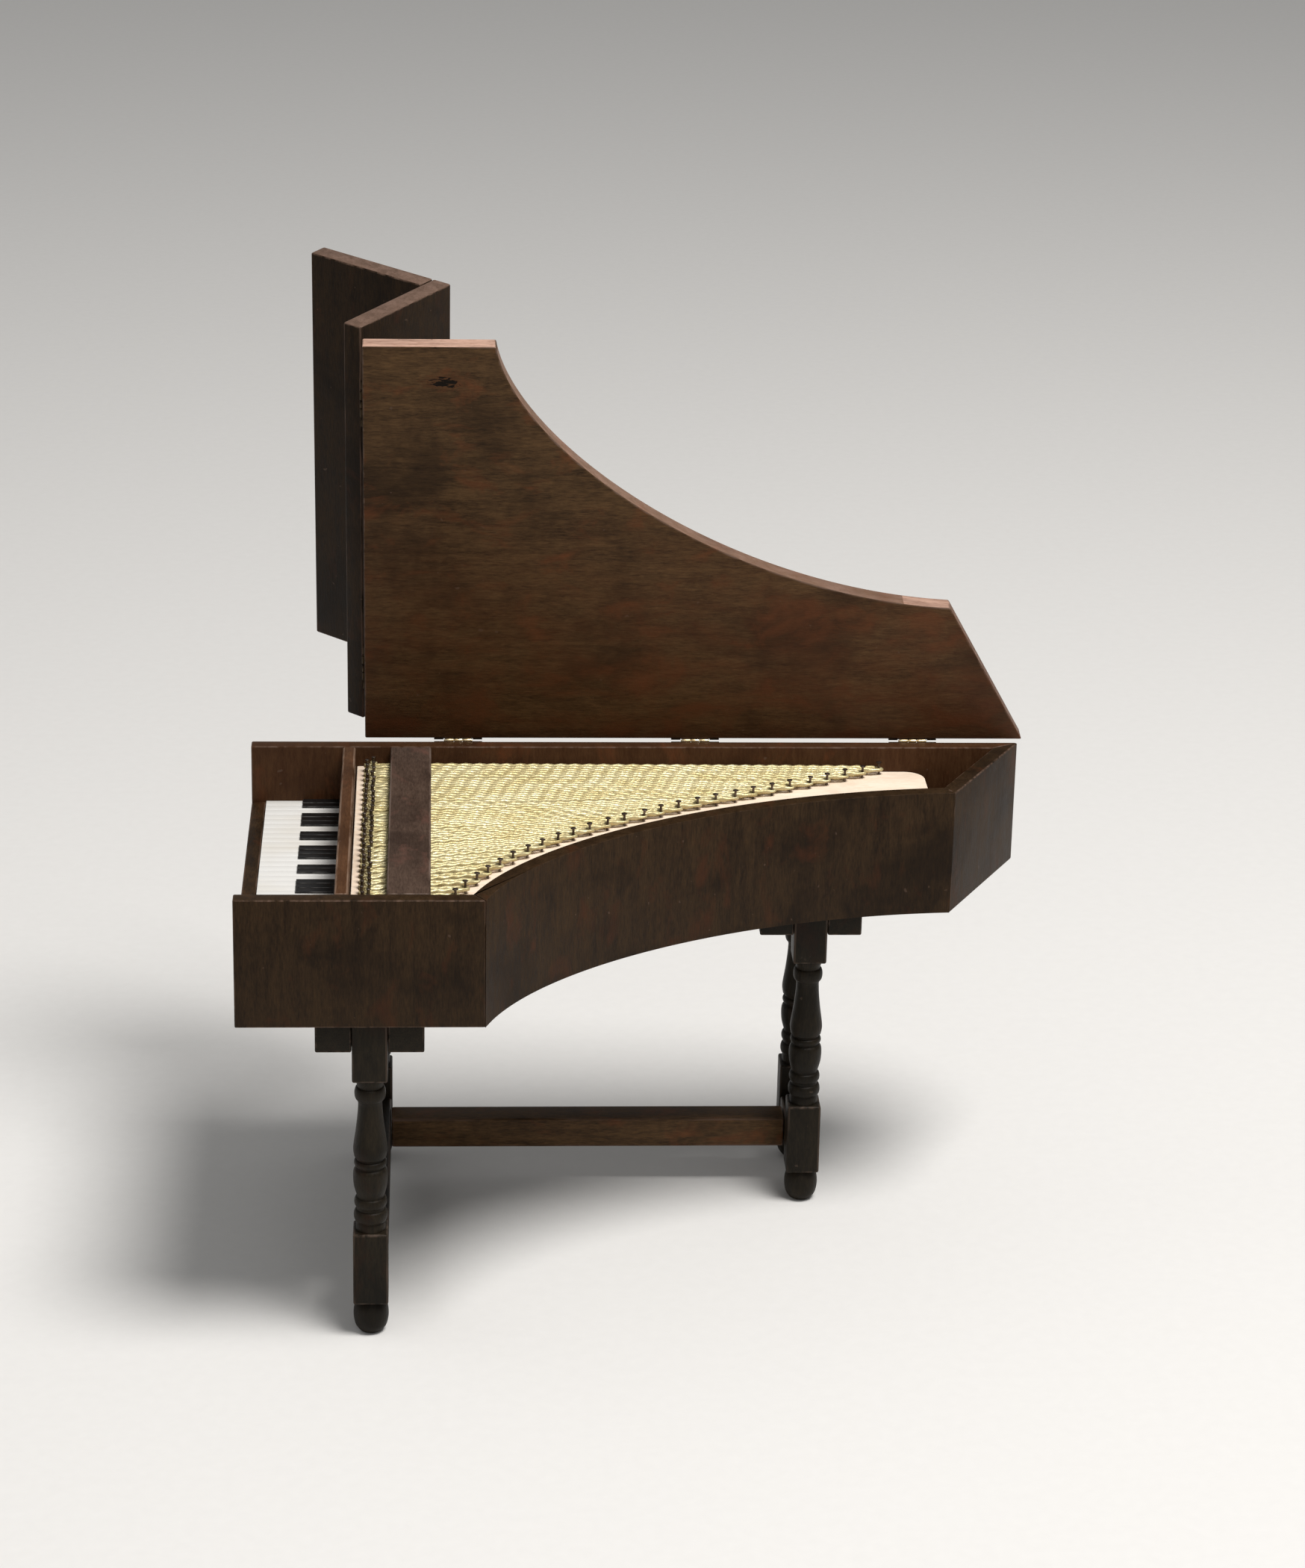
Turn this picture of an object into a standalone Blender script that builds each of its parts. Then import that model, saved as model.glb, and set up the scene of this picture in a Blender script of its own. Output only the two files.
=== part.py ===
"""A miniature wing-shaped harpsichord on a turned trestle stand, its lid open. Metres, +Z up.

Everything is set out from the keyboard end of the case: x runs from there to the tail, y from the
cheek to the spine, and z up from the floor. The lid, its flap and the drop front are modelled shut,
each in the frame of its own hinge, and their hinges are then turned to the open rest position.
The last step centres the outline box on the origin.
"""

import math

import bmesh
import bpy
from mathutils import Matrix, Vector

MM = 0.001
OBJECT_NAME = "miniature_harpsichord"

# Case
CASE_WIDTH = 75.0 * MM
CASE_LENGTH = 137.5 * MM
CASE_HEIGHT = 22.5 * MM
CASE_TOP = 80.0 * MM
CHEEK_LENGTH = 41.0 * MM
TAIL_CORNER = (123.2 * MM, 49.2 * MM)
BENT_START = (24.6 * MM, math.radians(71.0))
BENT_END = (40.2 * MM, math.radians(3.5))
BENT_STEPS = 26
WALL = 2.8 * MM
GAP = 0.1 * MM
EDGE = 0.25 * MM

# Inside the case
BOTTOM_THICKNESS = 2.2 * MM
KEY_SLIP = (2.5 * MM, 10.5 * MM)
NAMEBOARD = (16.3 * MM, 18.6 * MM)
NATURALS_BELOW_TOP = 10.3 * MM
NATURALS_THICKNESS = 3.2 * MM
SHARPS_START = 9.1 * MM
SHARPS_HEIGHT = 0.25 * MM
SHARP_GROUPS = (2, 3, 2, 3, 2, 3, 2, 3, 2)
FIRST_TAIL = 5.3 * MM
TAIL_WIDTH = 3.1 * MM
NATURAL_COUNT = 31
WREST_PLANK = (18.8 * MM, 30.4 * MM)
WREST_BELOW_TOP = 3.6 * MM
JACK_RAIL = (24.8 * MM, 32.0 * MM)
JACK_RAIL_THICKNESS = 1.9 * MM
SOUNDBOARD_START = 30.8 * MM
SOUNDBOARD_END = 120.2 * MM
SOUNDBOARD_BELOW_TOP = 4.6 * MM
SOUNDBOARD_THICKNESS = 1.2 * MM
SOUNDBOARD_CORNER = 3.5 * MM
STRINGS_BELOW_TOP = 2.7 * MM
STRINGS_THICKNESS = 0.25 * MM
HITCH_START = (35.0 * MM, 8.0 * MM)
HITCH_END = (112.0 * MM, 71.0 * MM)
HITCH_HANDLES = ((37.2 * MM, math.radians(67.9)), (35.2 * MM, math.radians(31.2)))
PIN_RAIL_WIDTH = 0.8 * MM

# Lid, flap and drop front
LID_THICKNESS = 3.7 * MM
LID_GAP = 0.15 * MM
LID_OVERHANG = 0.4 * MM
LID_FRONT = 20.2 * MM
LID_CHEEK_END = 43.0 * MM
LID_TAIL_CORNER = (123.8 * MM, 48.8 * MM)
LID_TAIL_END = 138.3 * MM
LID_START = (19.1 * MM, math.radians(80.2))
LID_END = (40.3 * MM, math.radians(3.3))
LID_OPEN = math.radians(82.0)
FLAP_OPEN = math.radians(127.5)
FLAP_CLEARANCE = 0.4 * MM
FRONT_CLEARANCE = 2.0 * MM
FLAP_SHIFT = 1.65 * MM
DROP_HEIGHT = 24.5 * MM

# Hinges
KNUCKLE_RADIUS = 0.36 * MM
PIN_RADIUS = 0.17 * MM
PIN_CLEARANCE = 0.04 * MM
LEAF_THICKNESS = 0.26 * MM
LEAF_WIDTH = 2.2 * MM
HINGE_LENGTH = 8.6 * MM
KNUCKLES_LENGTH = 4.8 * MM
KNUCKLES_ROOM = 0.25 * MM
KNUCKLE_GAP = 0.06 * MM
HINGE_FACETS = 10
LID_HINGES = (36.8 * MM, 79.3 * MM, 118.5 * MM)
FLAP_HINGES = (12.0 * MM, 63.0 * MM)

# Stand
LEG_SIDE = 5.9 * MM
LEG_BLOCKS = ((6.0 * MM, 19.1 * MM), (47.0 * MM, CASE_TOP - CASE_HEIGHT - GAP))
LEG_FACETS = 16
FRONT_TRESTLE = (22.0 * MM, 4.0 * MM, 71.0 * MM)
REAR_TRESTLE = (99.0 * MM, 53.6 * MM, 71.4 * MM)
TOP_RAIL_WIDTH = 18.0 * MM
TOP_RAIL_THICKNESS = 5.0 * MM
STRETCHER_SIDE = 5.6 * MM
STRETCHER_LOW = 7.6 * MM
LONG_STRETCHER_Y = 61.4 * MM

# name: colour, roughness, metallic
FINISHES = {
    "stained_wood": ((0.075, 0.028, 0.018), 0.45, 0.0),
    "dark_wood": ((0.045, 0.019, 0.013), 0.5, 0.0),
    "pale_wood": ((0.72, 0.50, 0.36), 0.6, 0.0),
    "gold_thread": ((0.80, 0.62, 0.26), 0.35, 0.8),
    "white_keys": ((0.86, 0.86, 0.84), 0.35, 0.0),
    "black_keys": ((0.012, 0.012, 0.013), 0.35, 0.0),
    "brass": ((0.72, 0.52, 0.22), 0.3, 1.0),
    "steel_pins": ((0.10, 0.08, 0.07), 0.4, 0.9),
}


def clear_scene():
    for obj in list(bpy.data.objects):
        bpy.data.objects.remove(obj, do_unlink=True)


def make_collection(name, hidden=False):
    collection = bpy.data.collections.new(name)
    bpy.context.scene.collection.children.link(collection)
    collection.hide_render = hidden
    return collection


def make_material(name):
    colour, roughness, metallic = FINISHES[name]
    material = bpy.data.materials.new(name)
    material.use_nodes = True
    shader = material.node_tree.nodes["Principled BSDF"]
    shader.inputs["Base Color"].default_value = (*colour, 1.0)
    shader.inputs["Roughness"].default_value = roughness
    shader.inputs["Metallic"].default_value = metallic
    material.diffuse_color = (*colour, 1.0)
    return material


def add_object(name, mesh, material=None, parent=None):
    obj = bpy.data.objects.new(name, mesh)
    PARTS.objects.link(obj)
    obj.parent = parent
    if material:
        mesh.materials.append(MATERIALS[material])
    return obj


def round_edges(obj, width=EDGE, segments=1):
    bevel = obj.modifiers.new("rounded_edges", "BEVEL")
    bevel.width = width
    bevel.segments = segments
    bevel.limit_method = "ANGLE"
    bevel.angle_limit = math.radians(40)


def block(name, low, high, material, parent=None, edge=EDGE):
    """A box between two corners, its edges rounded."""
    mesh = bpy.data.meshes.new(name)
    shape = bmesh.new()
    bmesh.ops.create_cube(shape, size=1.0)
    low, high = Vector(low), Vector(high)
    bmesh.ops.transform(shape, matrix=Matrix.Diagonal((*(high - low), 1.0)), verts=shape.verts)
    shape.to_mesh(mesh)
    shape.free()
    obj = add_object(name, mesh, material, parent)
    obj.location = (low + high) / 2
    if edge:
        round_edges(obj, edge)
    return obj


def board(name, outline, low, high, material, parent=None, edge=EDGE):
    """A flat board: a filled outline in plan, between two heights."""
    curve = bpy.data.curves.new(name, "CURVE")
    curve.dimensions = "2D"
    curve.fill_mode = "BOTH"
    curve.extrude = (high - low) / 2
    spline = curve.splines.new("POLY")
    spline.points.add(len(outline) - 1)
    for point, (x, y) in zip(spline.points, outline):
        point.co = (x, y, 0.0, 1.0)
    spline.use_cyclic_u = True
    drawn = bpy.data.objects.new(name + "_outline", curve)
    PARTS.objects.link(drawn)
    graph = bpy.context.evaluated_depsgraph_get()
    mesh = bpy.data.meshes.new_from_object(drawn.evaluated_get(graph))
    bpy.data.objects.remove(drawn, do_unlink=True)
    shape = bmesh.new()
    shape.from_mesh(mesh)
    bmesh.ops.remove_doubles(shape, verts=shape.verts, dist=1e-6)
    bmesh.ops.recalc_face_normals(shape, faces=shape.faces)
    shape.to_mesh(mesh)
    shape.free()
    mesh.name = name
    obj = add_object(name, mesh, material, parent)
    obj.location.z = (low + high) / 2
    if edge:
        round_edges(obj, edge)
    return obj


def rectangle(x_low, y_low, x_high, y_high):
    return [(x_low, y_low), (x_high, y_low), (x_high, y_high), (x_low, y_high)]


def sweep_curve(start, end, start_handle, end_handle, steps=BENT_STEPS):
    """A cubic from start to end; each handle is its length and its direction in plan."""
    start, end = Vector(start), Vector(end)
    length, angle = start_handle
    first = start + length * Vector((math.cos(angle), math.sin(angle)))
    length, angle = end_handle
    second = end - length * Vector((math.cos(angle), math.sin(angle)))
    points = []
    for step in range(steps + 1):
        t = step / steps
        s = 1 - t
        point = s**3 * start + 3 * s * s * t * first + 3 * s * t * t * second + t**3 * end
        points.append((point.x, point.y))
    return points


def arc(centre, radius, first, last, steps=5):
    """Points on a circle, its angles in degrees."""
    angles = (math.radians(first + (last - first) * step / steps) for step in range(steps + 1))
    return [(centre[0] + radius * math.cos(a), centre[1] + radius * math.sin(a)) for a in angles]


def inset_corner(before, here, after, distance):
    """The corner of a counter-clockwise outline moved inwards from both of its sides."""
    before, here, after = Vector(before), Vector(here), Vector(after)
    first, second = (here - before).normalized(), (after - here).normalized()
    normals = Vector((-first.y, first.x)) + Vector((-second.y, second.x))
    moved = here + normals * distance / (1 + first.dot(second))
    return moved.x, moved.y


def case_outline():
    """The outside of the case in plan: front of the cheek, bentside, tail, front of the spine."""
    bentside = sweep_curve((CHEEK_LENGTH, 0.0), TAIL_CORNER, BENT_START, BENT_END)
    return [(0.0, 0.0), *bentside, (CASE_LENGTH, CASE_WIDTH), (0.0, CASE_WIDTH)]


def case_inset(distance):
    """The case outline with its walls moved inwards and its open front left where it is."""
    outer = case_outline()
    corners = zip(outer, outer[1:], outer[2:])
    inner = [inset_corner(a, b, c, distance) for a, b, c in corners]
    return [(0.0, distance), *inner, (0.0, CASE_WIDTH - distance)]


def shortened(first, second):
    """Two points of a wall's end, moved along the wall to leave the width of a glue line."""
    along = (Vector(second) - Vector(first)).normalized() * GAP / 2
    return along.x, along.y


def wall(name, first, last, square_start=False, square_end=False):
    """One board of the case's rim, mitred to its neighbours, between two corners of the outline."""
    outer = case_outline()[first : last + 1]
    inner = case_inset(WALL)[first : last + 1]
    for points in (outer, inner):
        if not square_start:
            move = shortened(outer[0], outer[1])
            points[0] = (points[0][0] + move[0], points[0][1] + move[1])
        if not square_end:
            move = shortened(outer[-1], outer[-2])
            points[-1] = (points[-1][0] + move[0], points[-1][1] + move[1])
    return board(name, outer + inner[::-1], CASE_TOP - CASE_HEIGHT, CASE_TOP, "stained_wood")


def make_rim():
    tail = 1 + BENT_STEPS
    wall("cheek", 0, 1, square_start=True)
    wall("bentside", 1, tail)
    wall("tail_board", tail, tail + 1)
    wall("spine", tail + 1, tail + 2, square_end=True)
    low = CASE_TOP - CASE_HEIGHT
    outline = case_inset(WALL + GAP)
    board("bottom_board", outline, low, low + BOTTOM_THICKNESS, "dark_wood")


def across(name, x_low, x_high, low, high, material, edge=EDGE):
    """A piece that spans the case from the cheek to the spine."""
    y_low = WALL + GAP
    return block(name, (x_low, y_low, low), (x_high, CASE_WIDTH - y_low, high), material, edge=edge)


def make_keyboard():
    floor = CASE_TOP - CASE_HEIGHT + BOTTOM_THICKNESS + GAP
    slip_depth, slip_drop = KEY_SLIP
    across("key_slip", 0.0, slip_depth, floor, CASE_TOP - slip_drop, "stained_wood")
    start, end = slip_depth + GAP, NAMEBOARD[0] - GAP
    top = CASE_TOP - NATURALS_BELOW_TOP
    bed_top = top - NATURALS_THICKNESS - GAP
    across("key_bed", start, end, floor, bed_top, "dark_wood")
    across("naturals", start, end, bed_top + GAP, top, "white_keys", edge=0.15 * MM)
    across("nameboard", *NAMEBOARD, floor, CASE_TOP, "stained_wood")
    make_sharps(end - GAP, top + GAP)


def make_sharps(rear, base):
    """The black keys, one thin bar for each group of two or three, with white tails between.

    The groups are counted from the spine. A group of three lies over four naturals, and a group of
    two over three, but the first is cut short by the spine.
    """
    inside = CASE_WIDTH - 2 * (WALL + GAP)
    natural = inside / NATURAL_COUNT
    high = WALL + GAP + inside
    next_tail = high - FIRST_TAIL
    for number, keys in enumerate(SHARP_GROUPS, 1):
        low = next_tail + TAIL_WIDTH / 2
        corner, far = (SHARPS_START, low, base), (rear, high, base + SHARPS_HEIGHT)
        block(f"sharps_{number}", corner, far, "black_keys", edge=0.06 * MM)
        high = next_tail - TAIL_WIDTH / 2
        next_tail -= natural * (SHARP_GROUPS[number % len(SHARP_GROUPS)] + 1)


def make_interior():
    floor = CASE_TOP - CASE_HEIGHT + BOTTOM_THICKNESS + GAP
    wrest_top = CASE_TOP - WREST_BELOW_TOP
    across("wrest_plank", *WREST_PLANK, wrest_top - 6.0 * MM, wrest_top, "pale_wood")
    across("jack_rail", *JACK_RAIL, CASE_TOP - JACK_RAIL_THICKNESS, CASE_TOP, "dark_wood")
    board_top = CASE_TOP - SOUNDBOARD_BELOW_TOP
    board_low = board_top - SOUNDBOARD_THICKNESS
    board("soundboard", soundboard_outline(), board_low, board_top, "pale_wood", edge=0)
    rail = (SOUNDBOARD_START, SOUNDBOARD_START + 2.5 * MM)
    across("belly_rail", *rail, floor, board_low - GAP, "dark_wood")
    make_liners(rail[1] + GAP, board_low - 3.0 * MM, board_low - GAP)
    make_strings(board_top + GAP, wrest_top + GAP)


def soundboard_outline():
    """Bounded by the walls, with an end short of the tail that has both corners rounded."""
    inner = case_inset(WALL + GAP)
    along_bentside = [p for p in inner[1:-2] if p[0] < SOUNDBOARD_END - SOUNDBOARD_CORNER - MM]
    near = WALL + GAP
    far = CASE_WIDTH - near
    radius = SOUNDBOARD_CORNER
    meet = along_bentside[-1][1] + 0.6 * MM
    end = SOUNDBOARD_END - radius
    corners = arc((end, meet + radius), radius, -90, 0) + arc((end, far - radius), radius, 0, 90)
    return [(SOUNDBOARD_START, near), *along_bentside, *corners, (SOUNDBOARD_START, far)]


def make_liners(start, low, high):
    """Strips glued inside the spine and the bentside, which the soundboard rests on."""
    far = CASE_WIDTH - WALL - GAP
    liner = (start, far - 2.2 * MM, low), (116.0 * MM, far, high)
    block("spine_liner", *liner, "pale_wood")
    outer = case_inset(WALL + GAP)[3:-5]
    inner = case_inset(WALL + GAP + 2.0 * MM)[3:-5]
    board("bentside_liner", outer + inner[::-1], low, high, "pale_wood", edge=0)


def hitch_line(offset=0.0):
    """The curve that the hitch pins follow, moved towards the bentside by the offset."""
    points = sweep_curve(HITCH_START, HITCH_END, *HITCH_HANDLES, steps=18)
    moved = []
    for index, point in enumerate(points):
        before = Vector(points[max(index - 1, 0)])
        after = Vector(points[min(index + 1, len(points) - 1)])
        along = (after - before).normalized()
        moved.append((point[0] + along.y * offset, point[1] - along.x * offset))
    return moved


def make_strings(board_top, wrest_top):
    """The strings as one thin band, and the rows of pins as one low rail at each end of it."""
    top = CASE_TOP - STRINGS_BELOW_TOP
    near, far = WALL + 1.2 * MM, CASE_WIDTH - WALL - 1.2 * MM
    pins = (WREST_PLANK[0] + 0.8 * MM, WREST_PLANK[0] + 2.8 * MM)
    across_strings = [(pins[1] + GAP, far), (pins[1] + GAP, near), (HITCH_START[0] - MM, near)]
    band = across_strings + hitch_line()
    board("string_band", band, top - STRINGS_THICKNESS, top, "gold_thread", edge=0)
    low, high = (pins[0], near, wrest_top), (pins[1], far, wrest_top + 2.2 * MM)
    block("tuning_pin_row", low, high, "steel_pins")
    rail = hitch_line(GAP) + hitch_line(GAP + PIN_RAIL_WIDTH)[::-1]
    board("hitch_pin_row", rail, board_top, top + 0.4 * MM, "steel_pins", edge=0)


def turned_profile():
    """Radius and height down the turned stretches of a leg, floor at zero."""
    profile = [(0.0, 47.6), (2.45, 47.6), (2.45, 46.6), (2.3, 46.0), (2.15, 45.5)]
    profile += bead(44.1, 1.2, 2.15, 2.62)
    profile += [(2.0, 42.3), (2.1, 40.4), (2.4, 37.6), (2.75, 35.2), (2.88, 33.8), (2.7, 32.6)]
    profile += [(2.35, 32.2)]
    profile += bead(31.4, 0.6, 2.35, 2.75)
    profile += [(2.35, 30.6), (2.8, 30.0), (2.92, 28.8), (2.8, 27.2), (2.45, 25.8), (2.3, 25.3)]
    profile += bead(24.2, 0.9, 2.3, 2.75)
    profile += bead(21.7, 1.1, 2.35, 2.85)
    profile += [(2.5, 20.2), (2.5, 18.4), (2.5, 6.8), (2.3, 5.7)]
    profile += [(2.75, 4.9), (2.95, 3.9), (2.95, 2.6), (2.65, 1.2), (2.0, 0.25), (1.6, 0.0), (0.0, 0.0)]
    return [(radius * MM, height * MM) for radius, height in profile]


def bead(middle, half, neck, crest):
    """A half-round ring between two necks, from its top to its bottom."""
    points = []
    for step in range(5):
        turn = math.pi * step / 4
        points.append((neck + (crest - neck) * math.sin(turn), middle + half * math.cos(turn)))
    return points


def make_leg(name, x, y):
    """Turned stretches between two square blocks, made in one piece."""
    mesh = bpy.data.meshes.new(name)
    profile = [(radius, 0.0, height) for radius, height in turned_profile()]
    mesh.from_pydata(profile, [(i, i + 1) for i in range(len(profile) - 1)], [])
    leg = add_object(name, mesh, "dark_wood")
    leg.location = (x, y, 0.0)
    turning = leg.modifiers.new("turning", "SCREW")
    turning.steps = turning.render_steps = LEG_FACETS
    turning.use_merge_vertices = True
    turning.merge_threshold = 1e-6
    half = LEG_SIDE / 2
    for index, (low, high) in enumerate(LEG_BLOCKS):
        cutter = block(f"{name}_block_{index}", (x - half, y - half, low), (x + half, y + half, high), None)
        to_cutters(cutter)
        join = leg.modifiers.new("square_block", "BOOLEAN")
        join.operation = "UNION"
        join.solver = "EXACT"
        join.object = cutter
    return leg


def to_cutters(obj):
    PARTS.objects.unlink(obj)
    CUTTERS.objects.link(obj)
    obj.hide_render = True
    obj.display_type = "WIRE"


def top_rail_outline(x, near, far):
    """A plank with an open notch in each end, which fits round the head of a leg."""
    half, notch = TOP_RAIL_WIDTH / 2, LEG_SIDE / 2 + GAP
    low, high = near - LEG_SIDE / 2 + 0.3 * MM, far + LEG_SIDE / 2 - 0.3 * MM
    near_end = [(x - notch, low), (x - notch, near + notch), (x + notch, near + notch), (x + notch, low)]
    far_end = [(x + notch, high), (x + notch, far - notch), (x - notch, far - notch), (x - notch, high)]
    return [(x - half, low), *near_end, (x + half, low), (x + half, high), *far_end, (x - half, high)]


def make_trestle(place, x, near, far):
    high = CASE_TOP - CASE_HEIGHT - GAP
    make_leg(f"{place}_leg_cheek_side", x, near)
    make_leg(f"{place}_leg_spine_side", x, far)
    outline = top_rail_outline(x, near, far)
    board(f"{place}_top_rail", outline, high - TOP_RAIL_THICKNESS, high, "dark_wood")
    half = STRETCHER_SIDE / 2
    y_low, y_high = near + LEG_SIDE / 2 + GAP, far - LEG_SIDE / 2 - GAP
    low, high = (x - half, y_low, STRETCHER_LOW), (x + half, y_high, STRETCHER_LOW + STRETCHER_SIDE)
    block(f"{place}_cross_stretcher", low, high, "dark_wood")


def make_stand():
    make_trestle("front", *FRONT_TRESTLE)
    make_trestle("rear", *REAR_TRESTLE)
    half = STRETCHER_SIDE / 2
    start, end = FRONT_TRESTLE[0] + half + GAP, REAR_TRESTLE[0] - half - GAP
    low = (start, LONG_STRETCHER_Y - half, STRETCHER_LOW)
    high = (end, LONG_STRETCHER_Y + half, STRETCHER_LOW + STRETCHER_SIDE)
    block("long_stretcher", low, high, "stained_wood")


def round_bar(name, radius, start, end, facets=HINGE_FACETS):
    """A round bar on the line x = z = 0, between two places along y."""
    shape = bmesh.new()
    sizes = {"radius1": radius, "radius2": radius, "depth": end - start}
    bmesh.ops.create_cone(shape, cap_ends=True, segments=facets, **sizes)
    turn = Matrix.Rotation(math.radians(-90), 4, "X")
    place = Matrix.Translation((0.0, (start + end) / 2, 0.0))
    bmesh.ops.transform(shape, matrix=place @ turn, verts=shape.verts)
    return finish_mesh(name, shape)


def leaf(name, low, high):
    """A flat strip between two corners."""
    shape = bmesh.new()
    bmesh.ops.create_cube(shape, size=1.0)
    low, high = Vector(low), Vector(high)
    size = Matrix.Diagonal((*(high - low), 1.0))
    place = Matrix.Translation((low + high) / 2)
    bmesh.ops.transform(shape, matrix=place @ size, verts=shape.verts)
    return finish_mesh(name, shape)


def finish_mesh(name, shape):
    mesh = bpy.data.meshes.new(name)
    shape.to_mesh(mesh)
    shape.free()
    return mesh


def combine(obj, operation, mesh):
    """Joins a shape to the object, or cuts it away. Both share one frame."""
    cutter = bpy.data.objects.new(mesh.name, mesh)
    CUTTERS.objects.link(cutter)
    cutter.hide_render = True
    cutter.display_type = "WIRE"
    cutter.parent = obj
    step = obj.modifiers.new(mesh.name, "BOOLEAN")
    step.operation = operation
    step.solver = "EXACT"
    step.object = cutter


def make_hinge(name, fixed_to, turning_with, place, fixed_span, turning_span):
    """A butt hinge whose pin lies along y. The fixed leaf holds the pin and the two end knuckles.

    A place is the hinge's frame in each of the two parents. A span is the range of x and of z
    that a leaf covers in that frame.
    """
    half, third = KNUCKLES_LENGTH / 2, KNUCKLES_LENGTH / 6
    inset = 0.03 * MM
    around = KNUCKLE_RADIUS + KNUCKLE_GAP
    fixed = add_object(name + "_fixed_leaf", leaf(name + "_fixed", *corners(fixed_span)), "brass", fixed_to)
    fixed.matrix_local = place[0]
    combine(fixed, "DIFFERENCE", round_bar(name + "_slot", around, -third, third))
    for side in (-1, 1):
        ends = sorted((side * (third + inset), side * (half - inset)))
        combine(fixed, "UNION", round_bar(f"{name}_end_knuckle_{side}", KNUCKLE_RADIUS, *ends))
    combine(fixed, "UNION", round_bar(name + "_pin", PIN_RADIUS, -half - 0.15 * MM, half + 0.15 * MM))

    turning = leaf(name + "_turning", *corners(turning_span))
    turning = add_object(name + "_turning_leaf", turning, "brass", turning_with)
    turning.matrix_local = place[1]
    middle = third - KNUCKLE_GAP
    for side in (-1, 1):
        ends = sorted((side * middle, side * (half + KNUCKLES_ROOM)))
        combine(turning, "DIFFERENCE", round_bar(f"{name}_room_{side}", around, *ends))
    knuckle = round_bar(name + "_knuckle", KNUCKLE_RADIUS, inset - middle, middle - inset)
    combine(turning, "UNION", knuckle)
    bore = round_bar(name + "_bore", PIN_RADIUS + PIN_CLEARANCE, -half, half)
    combine(turning, "DIFFERENCE", bore)


def corners(span):
    """The corners of a leaf, as long as its hinge."""
    (x_low, x_high), (z_low, z_high) = span
    return (x_low, -HINGE_LENGTH / 2, z_low), (x_high, HINGE_LENGTH / 2, z_high)


def make_axis(name, place, parent=None):
    """An empty on a hinge's axis. The place is given with everything shut."""
    axis = bpy.data.objects.new(name, None)
    PARTS.objects.link(axis)
    axis.empty_display_size = 5 * MM
    axis["shut_place"] = place
    axis.parent = parent
    axis.location = Vector(place) - Vector(parent["shut_place"] if parent else (0, 0, 0))
    return axis


def hang(obj, axis):
    """Attaches a piece that was placed as if shut to the axis that it turns about."""
    obj.parent = axis
    obj.location -= Vector(axis["shut_place"])
    return obj


def lid_outline():
    curve = sweep_curve((LID_CHEEK_END, -LID_OVERHANG), LID_TAIL_CORNER, LID_START, LID_END)
    return [(LID_FRONT, -LID_OVERHANG), *curve, (LID_TAIL_END, CASE_WIDTH), (LID_FRONT, CASE_WIDTH)]


def make_lid():
    """The lid on the spine, the flap on the lid's front edge, the drop front on the flap's."""
    low = CASE_TOP + LID_GAP
    high = low + LID_THICKNESS
    stand_off = KNUCKLE_RADIUS + 0.02 * MM
    middle = CASE_WIDTH / 2
    lid_axis = make_axis("lid_axis", (0.0, CASE_WIDTH + stand_off, CASE_TOP + LID_GAP / 2))
    flap_x = LID_FRONT - FLAP_CLEARANCE / 2
    flap_axis = make_axis("flap_axis", (flap_x, middle, high + stand_off), lid_axis)
    front = -FRONT_CLEARANCE - LID_THICKNESS
    drop_top = low - 0.3 * MM
    drop_place = (front - stand_off, middle, (low + drop_top) / 2)
    drop_axis = make_axis("drop_front_axis", drop_place, flap_axis)

    hang(board("lid", lid_outline(), low, high, "stained_wood"), lid_axis)
    near, far = -LID_OVERHANG - FLAP_SHIFT, CASE_WIDTH - FLAP_SHIFT
    flap = rectangle(front, near, LID_FRONT - FLAP_CLEARANCE, far)
    hang(board("lid_flap", flap, low, high, "stained_wood"), flap_axis)
    drop = rectangle(front, near, -FRONT_CLEARANCE, far)
    hang(board("drop_front", drop, drop_top - DROP_HEIGHT, drop_top, "stained_wood"), drop_axis)

    leaf_range = (stand_off - 0.02 * MM - LEAF_THICKNESS, stand_off - 0.02 * MM)
    make_lid_hinges(lid_axis, leaf_range)
    for number, y in enumerate(FLAP_HINGES, 1):
        make_flap_hinges(number, y - middle, lid_axis, flap_axis, drop_axis, leaf_range)
    lid_axis.rotation_euler.x = -LID_OPEN
    flap_axis.rotation_euler.y = FLAP_OPEN


def make_lid_hinges(axis, thickness):
    """One leaf lies on the outer face of the spine and the other on the edge of the lid above it."""
    above, below = (0.1 * MM, LEAF_WIDTH), (-LEAF_WIDTH, -0.1 * MM)
    turn = Matrix.Rotation(math.radians(-90), 4, "Z")
    for number, x in enumerate(LID_HINGES, 1):
        in_lid = Matrix.Translation((x, 0.0, 0.0)) @ turn
        in_case = Matrix.Translation(axis.location) @ in_lid
        spans = (thickness, below), (thickness, above)
        make_hinge(f"lid_hinge_{number}", None, axis, (in_case, in_lid), *spans)


def make_flap_hinges(number, y, lid_axis, flap_axis, drop_axis, thickness):
    """The leaves lie on the outer faces, so that each board can fold right back."""
    near, far = thickness
    reach = (0.1 * MM, LEAF_WIDTH)
    back = (-LEAF_WIDTH, -0.1 * MM)
    places = [Matrix.Translation(axis.location + Vector((0.0, y, 0.0))) for axis in (flap_axis, drop_axis)]
    here = Matrix.Translation((0.0, y, 0.0))
    faces = (-far, -near)
    spans = (reach, faces), (back, faces)
    make_hinge(f"flap_hinge_{number}", lid_axis, flap_axis, (places[0], here), *spans)
    spans = ((near, far), reach), ((near, far), back)
    make_hinge(f"drop_hinge_{number}", flap_axis, drop_axis, (places[1], here), *spans)


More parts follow.
